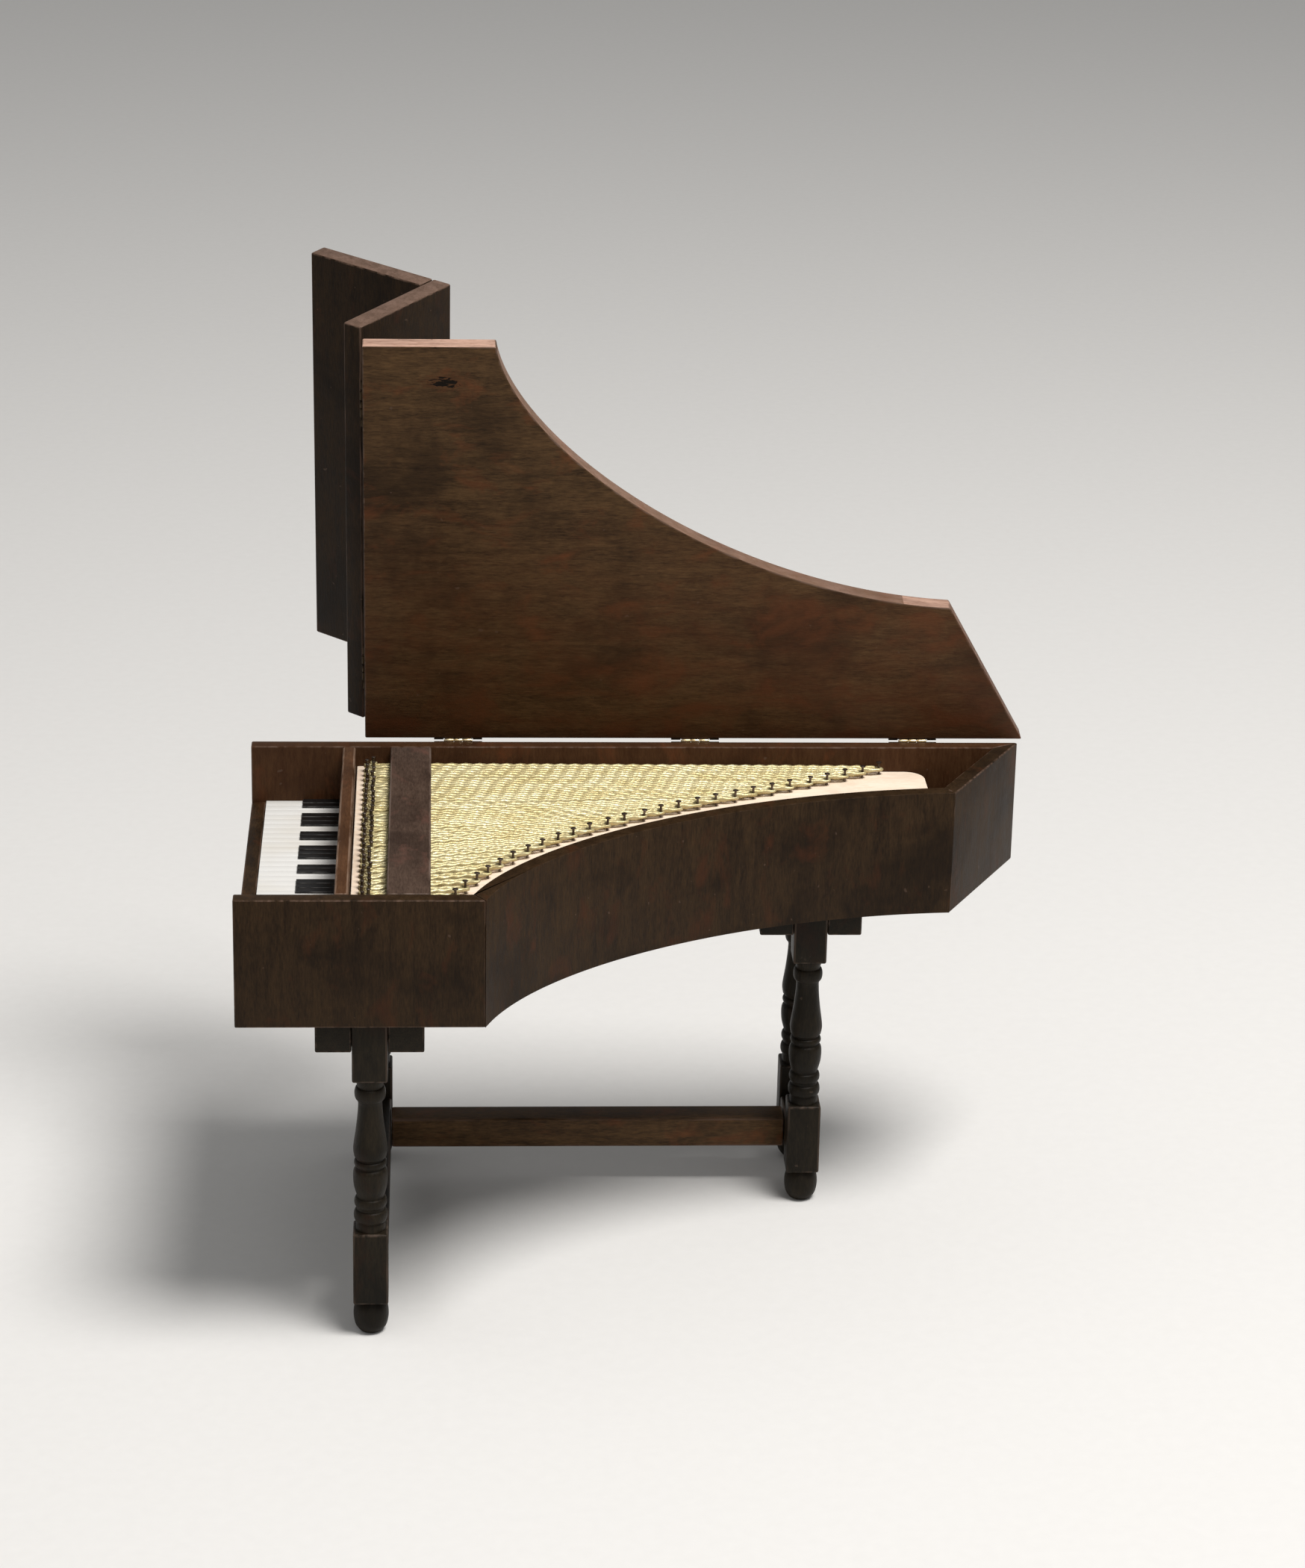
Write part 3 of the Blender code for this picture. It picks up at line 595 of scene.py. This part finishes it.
def make_boards():
    rebuilt("key_slip", STAINED["Y"], "stained_wood")
    rebuilt("nameboard", WARM, "stained_wood", 0.35 * MM)
    rebuilt("jack_rail", PURPLE, "dark_wood", 0.3 * MM)
    rebuilt("wrest_plank", PALE, "pale_wood")
    low, high = local_box("soundboard")
    near, far = low.y, high.y
    inner = [p for p in case_inset(WALL + 0.1 * MM)[1:-2] if p[0] < high.x - 4.5 * MM]
    radius = 3.5 * MM
    meet = inner[-1][1] + 0.35 * MM
    corners = arc((high.x - radius, meet + radius), radius, -90, 0)
    corners += arc((high.x - radius, far - radius), radius, 0, 90)
    outline = [(low.x, near), *inner, *corners, (low.x, far)]
    board = prism("soundboard_panel", outline, low.z, high.z, PALE, 0.12 * MM)
    install(board, "case_and_stand", "pale_wood", "soundboard")


def make_naturals():
    """The white keys, parted by scored lines."""
    low, high = local_box("naturals")
    pitch = (high.y - low.y) / NATURAL_COUNT
    depth, half = 0.12 * MM, 0.07 * MM
    outline = [(low.y, low.z), (high.y, low.z), (high.y, high.z)]
    for key in range(NATURAL_COUNT - 1, 0, -1):
        line = low.y + key * pitch
        outline += [(line + half, high.z), (line, high.z - depth), (line - half, high.z)]
    outline.append((low.y, high.z))
    keys = prism("naturals_strip", outline, low.x, high.x, WHITE, 0.03 * MM, upright="X")
    install(keys, "case_and_stand", "white_keys", "naturals")


def make_sharps():
    """Thin black keys with rounded edges, set close together in their groups."""
    split = 0.1 * MM
    for number, keys in enumerate(SHARP_GROUPS, 1):
        node = f"sharps_{number}"
        low, high = local_box(node)
        pitch = (high.y - low.y + split) / keys
        shape = new_shape()
        for key in range(keys):
            near = low.y + key * pitch
            corner = Vector((low.x, near, low.z))
            opposite = Vector((high.x, near + pitch - split, high.z))
            add_block(shape, corner, opposite, 0.1 * MM)
        bank = finish_shape(node + "_caps", shape, BLACK)
        install(bank, "case_and_stand", "black_keys", node)


# ---------------------------------------------------------------- strings


def hitch_places():
    """The hitch pins, equally spaced along their curve."""
    curve = [Vector(p) for p in sweep_curve(HITCH_START, HITCH_END, *HITCH_HANDLES, steps=400)]
    lengths = [0.0]
    for before, after in zip(curve, curve[1:]):
        lengths.append(lengths[-1] + (after - before).length)
    places, index = [], 0
    for pin in range(PIN_COUNT):
        target = lengths[-1] * pin / (PIN_COUNT - 1)
        while index < len(lengths) - 1 and lengths[index] < target:
            index += 1
        places.append(curve[index])
    return places


def tuning_places():
    """Two tuning pins for each hitch pin, in two rows that alternate."""
    near, far = TUNING_Y
    count = 2 * PIN_COUNT
    step = (far - near) / (count - 1)
    return [Vector((TUNING_X[pin % 2], near + step * pin)) for pin in range(count)]


def nail(shape, place, foot, top, radius, head):
    """A headed pin, leaning a little as if driven by hand."""
    length = top - foot
    tilt = Matrix.Rotation(random.uniform(-PIN_LEAN, PIN_LEAN), 4, "X")
    tilt = tilt @ Matrix.Rotation(random.uniform(-PIN_LEAN, PIN_LEAN), 4, "Y")
    thick = 0.3 * MM
    profile = [(0.0, length), (head * 0.6, length - 0.03 * MM), (head, length - 0.12 * MM)]
    profile += [(head, length - thick + 0.06 * MM), (head * 0.8, length - thick)]
    profile += [(radius, length - thick - 0.1 * MM), (radius, length * 0.5), (radius, 0.0), (0.0, 0.0)]
    lathe(shape, profile, 12, Matrix.Translation((place.x, place.y, foot)) @ tilt)


def make_pins(name, node, places, board, top, radius, head):
    """A row of pins driven into a board."""
    foot = local_box(board)[1].z - PIN_DEPTH
    shape = new_shape()
    for place in places:
        nail(shape, place, foot, top, radius, head)
    install(finish_shape(name, shape, STEEL), "case_and_stand", "steel_pins", node)


def wound(place, pin_radius, radius, first, last, height, climb):
    """The thread's way round a pin between two angles in degrees, and its radius there."""
    reach = pin_radius + radius * 0.9
    steps = max(4, round(abs(last - first) / 30))
    points = []
    for step in range(steps + 1):
        angle = math.radians(first + (last - first) * step / steps)
        x, y = place.x + reach * math.cos(angle), place.y + reach * math.sin(angle)
        points.append(Vector((x, y, height + climb * step / steps, radius)))
    return points


def thread_route(hitches, tunings):
    """One thread, wound to and fro between the tuning pins and the hitch pins."""
    route = []
    for number, hitch in enumerate(hitches):
        first, second = tunings[2 * number], tunings[2 * number + 1]
        level = STRING_HEIGHT + random.uniform(-0.08, 0.08) * MM
        low, top = level - STRING_DROP, level + 0.5 * MM
        route += wound(first, TUNING_RADIUS, TIGHT_RADIUS, 180, 630, top, level - top)
        loop = wound(hitch, HITCH_RADIUS, LOOP_RADIUS, -90, 90, low, 0.0)
        route += filling_out(route[-1], loop[0])
        route += loop
        reach = TUNING_RADIUS + TIGHT_RADIUS
        tight = Vector((second.x, second.y - reach, level, TIGHT_RADIUS))
        route += filling_out(loop[-1], tight)
        route += wound(second, TUNING_RADIUS, TIGHT_RADIUS, -90, -630, level, top - level)
    return route


def filling_out(start, end):
    """A free length of thread, full except near the two pins that it is pulled tight round."""
    share = 2.0 * MM / (end - start).length
    beyond, before = start.lerp(end, share), end.lerp(start, share)
    beyond.w = before.w = STRING_RADIUS
    return [start, beyond, before, end]


def resample(route, step):
    """Points a fixed step apart along a polyline."""
    points = [route[0]]
    carry = 0.0
    for before, after in zip(route, route[1:]):
        length = (after.xyz - before.xyz).length
        if length < 1e-9:
            continue
        distance = step - carry
        while distance <= length:
            points.append(before.lerp(after, distance / length))
            distance += step
        carry = length - (distance - step)
    return points


def twisted_on(turn, point, heading):
    """The plies' turn one step on. Straight stretches settle so that their twists lie side by side."""
    turn += 2 * math.pi * STRING_STEP / STRING_TWIST
    if abs(heading.x) < STRAIGHT:
        return turn
    wander = 0.45 * math.sin(point.x / (7.0 * MM) + point.y / (2.3 * MM))
    beside = 2 * math.pi * (point.x - STRING_SLANT * point.y) / STRING_TWIST + wander
    wanted = beside if heading.x > 0 else -beside
    adrift = (wanted - turn + math.pi / 2) % math.pi - math.pi / 2
    return turn + STRING_SETTLING * adrift


def twisted_thread(name, points):
    """Two plies laid round each other along a line of evenly spaced points."""
    shape = new_shape()
    upright = Vector((0.0, 0.0, 1.0))
    rings, turn = [], 0.0
    for index, point in enumerate(points):
        before, after = points[max(index - 1, 0)].xyz, points[min(index + 1, len(points) - 1)].xyz
        heading = (after - before).normalized()
        across = heading.cross(upright).normalized()
        lift = across.cross(heading)
        turn = twisted_on(turn, point, heading)
        ring = []
        for side in range(THREAD_SIDES):
            angle = 2 * math.pi * side / THREAD_SIDES
            reach = point.w * (PLY_ROUNDNESS + (1 - PLY_ROUNDNESS) * math.cos(2 * angle))
            offset = math.cos(angle + turn) * across + math.sin(angle + turn) * lift
            ring.append(shape.verts.new(point.xyz + reach * offset))
        rings.append(ring)
    for ring, after in zip(rings, rings[1:]):
        for side in range(THREAD_SIDES):
            beyond = (side + 1) % THREAD_SIDES
            shape.faces.new((ring[side], ring[beyond], after[beyond], after[side]))
    shape.faces.new(rings[0][::-1])
    shape.faces.new(rings[-1])
    bmesh.ops.recalc_face_normals(shape, faces=shape.faces)
    return finish_shape(name, shape, GOLD, 80.0)


def make_strings():
    hitches, tunings = hitch_places(), tuning_places()
    sizes = HITCH_TOP, HITCH_RADIUS, HITCH_HEAD
    make_pins("hitch_pins", "hitch_pin_row", hitches, "soundboard", *sizes)
    sizes = TUNING_TOP, TUNING_RADIUS, TUNING_HEAD
    make_pins("tuning_pins", "tuning_pin_row", tunings, "wrest_plank", *sizes)
    thread = twisted_thread("string_thread", resample(thread_route(hitches, tunings), STRING_STEP))
    install(thread, "case_and_stand", "gold_thread", "string_band")


# ---------------------------------------------------------------- stand


def turned_leg():
    """Radius and height down the turned stretch between a leg's two blocks, in millimetres."""
    profile = [(0.0, 47.2), (2.45, 47.2), (2.45, 46.6), (2.3, 46.0), (2.15, 45.5)]
    profile += bead(44.1, 1.2, 2.15, 2.62)
    profile += smooth([(2.0, 42.3), (2.1, 40.4), (2.4, 37.6), (2.75, 35.2), (2.88, 33.8), (2.7, 32.6)])
    profile += [(2.35, 32.2)]
    profile += bead(31.4, 0.6, 2.35, 2.75)
    profile += smooth([(2.35, 30.6), (2.8, 30.0), (2.92, 28.8), (2.8, 27.2), (2.45, 25.8), (2.3, 25.3)])
    profile += bead(24.2, 0.9, 2.3, 2.75)
    profile += bead(21.7, 1.1, 2.35, 2.85)
    return profile + [(2.5, 20.2), (2.5, 18.9), (0.0, 18.9)]


def turned_foot():
    profile = [(0.0, 6.2), (2.5, 6.2), (2.3, 5.7)]
    profile += smooth([(2.3, 5.7), (2.75, 4.9), (2.95, 3.9), (2.95, 2.6), (2.65, 1.2), (2.0, 0.25)])[1:]
    return profile + [(1.6, 0.0), (0.0, 0.0)]


def bead(middle, half, neck, crest, steps=10):
    """A half-round ring between two necks, from its top to its bottom."""
    turns = [math.pi * step / steps for step in range(steps + 1)]
    return [(neck + (crest - neck) * math.sin(t), middle + half * math.cos(t)) for t in turns]


def smooth(points, steps=4):
    """A curve through the points."""
    ends = [points[0], *points, points[-1]]
    made = []
    for a, b, c, d in zip(ends, ends[1:], ends[2:], ends[3:]):
        for step in range(steps):
            t = step / steps
            weights = (
                (2 * t * t - t**3 - t) / 2,
                (3 * t**3 - 5 * t * t + 2) / 2,
                (4 * t * t - 3 * t**3 + t) / 2,
                (t**3 - t * t) / 2,
            )
            made.append(tuple(sum(w * p[k] for w, p in zip(weights, (a, b, c, d))) for k in (0, 1)))
    return made + [points[-1]]


def add_block(shape, low, high, bevel):
    """Adds a block with rounded edges to a shape."""
    cube = new_shape()
    bmesh.ops.create_cube(cube, size=1.0)
    size = Matrix.Diagonal((*(high - low), 1.0))
    bmesh.ops.transform(cube, matrix=Matrix.Translation((low + high) / 2) @ size, verts=cube.verts)
    soften(cube, bevel)
    add_part(shape, cube)


def make_leg(node):
    low, high = local_box(node)
    middle = (low + high) / 2
    half = LEG_SIDE / 2
    shape = new_shape()
    place = Matrix.Translation((middle.x, middle.y, 0.0))
    for profile in (turned_leg(), turned_foot()):
        lathe(shape, [(radius * MM, height * MM) for radius, height in profile], 48, place)
    for bottom, top in (LEG_BLOCKS[0], (LEG_BLOCKS[1], high.z)):
        corner = Vector((middle.x - half, middle.y - half, bottom))
        opposite = Vector((middle.x + half, middle.y + half, top))
        add_block(shape, corner, opposite, 0.35 * MM)
    leg = finish_shape(node + "_turned", shape, EBONISED["Z"])
    install(leg, "case_and_stand", "dark_wood", node)


def make_top_rail(place, x):
    """A plank with an open notch in each end, which fits round the head of a leg."""
    node = place + "_top_rail"
    low, high = local_box(node)
    half, notch = (high.x - low.x) / 2, LEG_SIDE / 2 + 0.05 * MM
    deep = LEG_SIDE - 0.25 * MM
    near, far = low.y, high.y
    outline = [(x - half, near), (x - notch, near), (x - notch, near + deep), (x + notch, near + deep)]
    outline += [(x + notch, near), (x + half, near), (x + half, far), (x + notch, far)]
    outline += [(x + notch, far - deep), (x - notch, far - deep), (x - notch, far), (x - half, far)]
    rail = prism(node + "_plank", outline, low.z, high.z, EBONISED["Y"], 0.3 * MM)
    install(rail, "case_and_stand", "dark_wood", node)


def make_stand():
    for place in ("front", "rear"):
        x = (local_box(place + "_top_rail")[0].x + local_box(place + "_top_rail")[1].x) / 2
        make_leg(place + "_leg_cheek_side")
        make_leg(place + "_leg_spine_side")
        make_top_rail(place, x)
        rebuilt(place + "_cross_stretcher", EBONISED["Y"], "dark_wood", 0.4 * MM)
    rebuilt("long_stretcher", STRETCHER_WOOD, "stained_wood", 0.4 * MM)


# ---------------------------------------------------------------- lid, flap and drop front


def lid_outline():
    curve = sweep_curve((LID_CHEEK_END, -LID_OVERHANG), LID_TAIL_CORNER, LID_START, LID_END)
    return [(LID_FRONT, -LID_OVERHANG), *curve, (LID_TAIL_END, CASE_WIDTH), (LID_FRONT, CASE_WIDTH)]


def make_lid():
    high = LID_LOW + LID_THICKNESS
    lid = prism("lid_panel", lid_outline(), LID_LOW, high, LID_WOOD, 0.25 * MM, raw_lit_end=1.0)
    install(lid, "lid", "stained_wood", "lid", place=LID_PLACE)
    near, far = -LID_OVERHANG - FLAP_SHIFT, CASE_WIDTH - FLAP_SHIFT
    low, far_corner = (FLAP_FRONT, near, LID_LOW), (FLAP_BACK, far, high)
    flap = slab("flap_panel", low, far_corner, FLAP_WOOD_PAINTED_SHADE, FLAP_EDGE, FLAP_RAW_LIT_END)
    install(flap, "lid_flap", "stained_wood", "lid_flap", place=FLAP_PLACE)
    low = (FLAP_FRONT, near, DROP_TOP - DROP_HEIGHT)
    far_corner = (FLAP_FRONT + LID_THICKNESS, far, DROP_TOP)
    drop = slab("drop_panel", low, far_corner, FLAP_WOOD_PAINTED_SHADE, FLAP_EDGE, FLAP_RAW_LIT_END)
    install(drop, "drop_front", "stained_wood", "drop_front", place=FLAP_PLACE)


# ---------------------------------------------------------------- hinges


def plate_outline(near, far, fixed):
    """A leaf cut away beside the knuckles that belong to the other leaf."""
    half, third = HINGE_LENGTH / 2, KNUCKLES_LENGTH / 6
    end = KNUCKLES_LENGTH / 2 + KNUCKLES_ROOM
    room = math.copysign(KNUCKLE_RADIUS + 0.06 * MM, far)
    rooms = [(near, third), (room, third), (room, -third), (near, -third)]
    if not fixed:
        rooms = [(near, end), (room, end), (room, third), (near, third)]
        rooms += [(x, -y) for x, y in reversed(rooms)]
    return [(far, -half), (far, half), (near, half), *rooms, (near, -half)]


def leaf_shape(shape, near, far, thin, upright, fixed):
    """A leaf that reaches from near to far; thin is the range of its thickness."""
    plate = drawn_out(plate_outline(near, far, fixed), *thin)
    bmesh.ops.recalc_face_normals(plate, faces=plate.faces)
    soften(plate, 0.05 * MM, 2)
    # The leaves take the second material, the near-black brass that paints the shade in the hinge gaps.
    for face in plate.faces:
        face.material_index = 1
    if upright:
        for vert in plate.verts:
            vert.co = Vector((vert.co.z, vert.co.y, vert.co.x))
        bmesh.ops.reverse_faces(plate, faces=plate.faces)
    add_part(shape, plate)


def barrel(shape, start, end, radius, round_off):
    """A rounded bar along y."""
    narrow, nearly = radius - round_off, round_off * 0.3
    profile = [(0.0, end), (narrow, end), (radius - nearly, end - nearly)]
    profile += [(radius, end - round_off), (radius, start + round_off)]
    profile += [(radius - nearly, start + nearly), (narrow, start), (0.0, start)]
    lathe(shape, profile, 20, Matrix.Rotation(math.radians(-90), 4, "X"))


def nail_head(shape, centre, normal):
    """A domed head on the outer face of a leaf."""
    profile = [(0.0, 0.09 * MM), (0.16 * MM, 0.075 * MM), (0.27 * MM, 0.03 * MM)]
    profile += [(0.3 * MM, 0.0), (0.0, 0.0)]
    turn = Vector((0.0, 0.0, 1.0)).rotation_difference(normal).to_matrix().to_4x4()
    lathe(shape, profile, 14, Matrix.Translation(centre) @ turn)


def make_leaf(name, body, place, far, thin, heads, upright=False):
    """One leaf with its knuckles and nails; the fixed leaf also carries the pin.

    The leaf reaches from the pin towards far. Its nails face up the thickness or, with heads at
    -1, down it.
    """
    fixed = "fixed" in name
    shape = new_shape()
    leaf_shape(shape, math.copysign(LEAF_START, far), far, thin, upright, fixed)
    half, third, inset = KNUCKLES_LENGTH / 2, KNUCKLES_LENGTH / 6, 0.03 * MM
    if fixed:
        for side in (-1, 1):
            start, end = sorted((side * (third + inset), side * (half - inset)))
            barrel(shape, start, end, KNUCKLE_RADIUS, 0.1 * MM)
        barrel(shape, -half - 0.15 * MM, half + 0.15 * MM, PIN_RADIUS, 0.08 * MM)
    else:
        barrel(shape, -third + 0.09 * MM, third - 0.09 * MM, KNUCKLE_RADIUS, 0.1 * MM)
    reach = far * NAIL_REACH
    level = thin[0] if heads < 0 else thin[1]
    for side in (-1, 1):
        y = side * HINGE_LENGTH * NAIL_SPREAD
        centre = (level, y, reach) if upright else (reach, y, level)
        normal = Vector((heads, 0.0, 0.0)) if upright else Vector((0.0, 0.0, heads))
        nail_head(shape, Vector(centre), normal)
    # Bright brass for the lid's knuckles; near-black brass, painted shade, for the flap's and drop front's.
    bright = BRASS if name.startswith("lid_hinge") else PAINTED_SHADE_BRASS
    piece = finish_shape(name + "_brass", shape, bright, 30.0, second=PAINTED_SHADE_BRASS)
    install(piece, body, "brass", name, place=place)


def make_hinge(name, fixed, turning, here, thin, heads, sides, upright=False):
    """Two leaves on one pin; fixed and turning are each a body and its place."""
    for leaf, (body, place), side in zip(("fixed", "turning"), (fixed, turning), sides):
        far = side * LEAF_WIDTH
        make_leaf(f"{name}_{leaf}_leaf", body, place @ here, far, thin, heads, upright)


def make_hinges():
    near, far = LEAF_RANGE
    case, lid = ("case_and_stand", CASE_PLACE), ("lid", LID_PLACE)
    flap, drop = ("lid_flap", FLAP_PLACE), ("drop_front", FLAP_PLACE)
    turn = Matrix.Rotation(math.radians(-90), 4, "Z")
    for number, x in enumerate(LID_HINGES, 1):
        here = Matrix.Translation((x, LID_AXIS.y, LID_AXIS.z)) @ turn
        make_hinge(f"lid_hinge_{number}", case, lid, here, (near, far), -1, (-1, 1), upright=True)
    for number, y in enumerate(FLAP_HINGES, 1):
        here = Matrix.Translation((FLAP_AXIS.x, y, FLAP_AXIS.z))
        make_hinge(f"flap_hinge_{number}", lid, flap, here, (-far, -near), 1, (1, -1))
        here = Matrix.Translation((DROP_AXIS.x, y, DROP_AXIS.z))
        make_hinge(f"drop_hinge_{number}", flap, drop, here, (near, far), -1, (1, -1), upright=True)


# ---------------------------------------------------------------- what the CAD model already shapes


def refinish(node, material):
    """Gives a CAD node whose shape is right a finished surface."""
    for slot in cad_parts[node].material_slots:
        slot.material = material


def finish_hidden_boards():
    refinish("bottom_board", EBONISED["X"])
    refinish("key_bed", EBONISED["Y"])
    for node in ("belly_rail", "spine_liner", "bentside_liner"):
        refinish(node, PALE)


# ---------------------------------------------------------------- camera, floor and light


def make_camera():
    data = bpy.data.cameras.new("camera")
    data.sensor_width = 36.0
    data.lens = CAMERA_LENS
    data.clip_start, data.clip_end = 0.01, 20.0
    camera = bpy.data.objects.new("camera", data)
    bpy.context.scene.collection.objects.link(camera)
    turn = Matrix.Rotation(CAMERA_YAW, 4, "Z") @ Matrix.Rotation(math.pi / 2 - CAMERA_PITCH, 4, "X")
    turn = turn @ Matrix.Rotation(CAMERA_ROLL, 4, "Z")
    camera.matrix_world = CASE_PLACE @ Matrix.Translation(CAMERA_STAND) @ turn
    bpy.context.scene.camera = camera


def make_floor():
    shape = new_shape()
    bmesh.ops.create_grid(shape, x_segments=1, y_segments=1, size=6.0)
    made = Finish("floor", Roughness=0.8)
    fleck = made.noise((400.0, 400.0, 400.0), 3.0)
    made.finish(made.mix(fleck, (0.74, 0.73, 0.71), (0.78, 0.77, 0.75)), 0.8, made.bump(fleck, 0.05 * MM))
    floor = finish_shape("floor", shape, made.material)


def make_light(name, place, size, power, colour=(1.0, 1.0, 1.0)):
    data = bpy.data.lights.new(name, "AREA")
    data.shape, data.size = "DISK", size
    data.energy, data.color = power, colour
    light = bpy.data.objects.new(name, data)
    bpy.context.scene.collection.objects.link(light)
    light.location = place
    target = Vector((0.0, 0.0, 0.08))
    light.rotation_mode = "QUATERNION"
    light.rotation_quaternion = (target - light.location).to_track_quat("-Z", "Y")


def make_studio():
    make_floor()
    make_light("key", Vector((0.30, -0.24, 1.08)), 0.5, 13.0, (1.0, 0.98, 0.96))
    make_light("front", Vector((0.15, -1.3, 0.6)), 0.9, 1.1, (1.0, 0.99, 0.98))
    make_light("side", Vector((-0.9, 0.1, 0.9)), 0.7, 0.8)
    world = bpy.data.worlds.new("studio")
    bpy.context.scene.world = world
    world.use_nodes = True
    background = world.node_tree.nodes["Background"]
    background.inputs["Color"].default_value = (0.88, 0.88, 0.88, 1.0)
    background.inputs["Strength"].default_value = 0.3


bpy.context.scene.view_settings.view_transform = "Standard"
make_camera()
make_studio()
make_case()
make_boards()
make_naturals()
make_sharps()
make_strings()
make_stand()
make_lid()
make_hinges()
finish_hidden_boards()
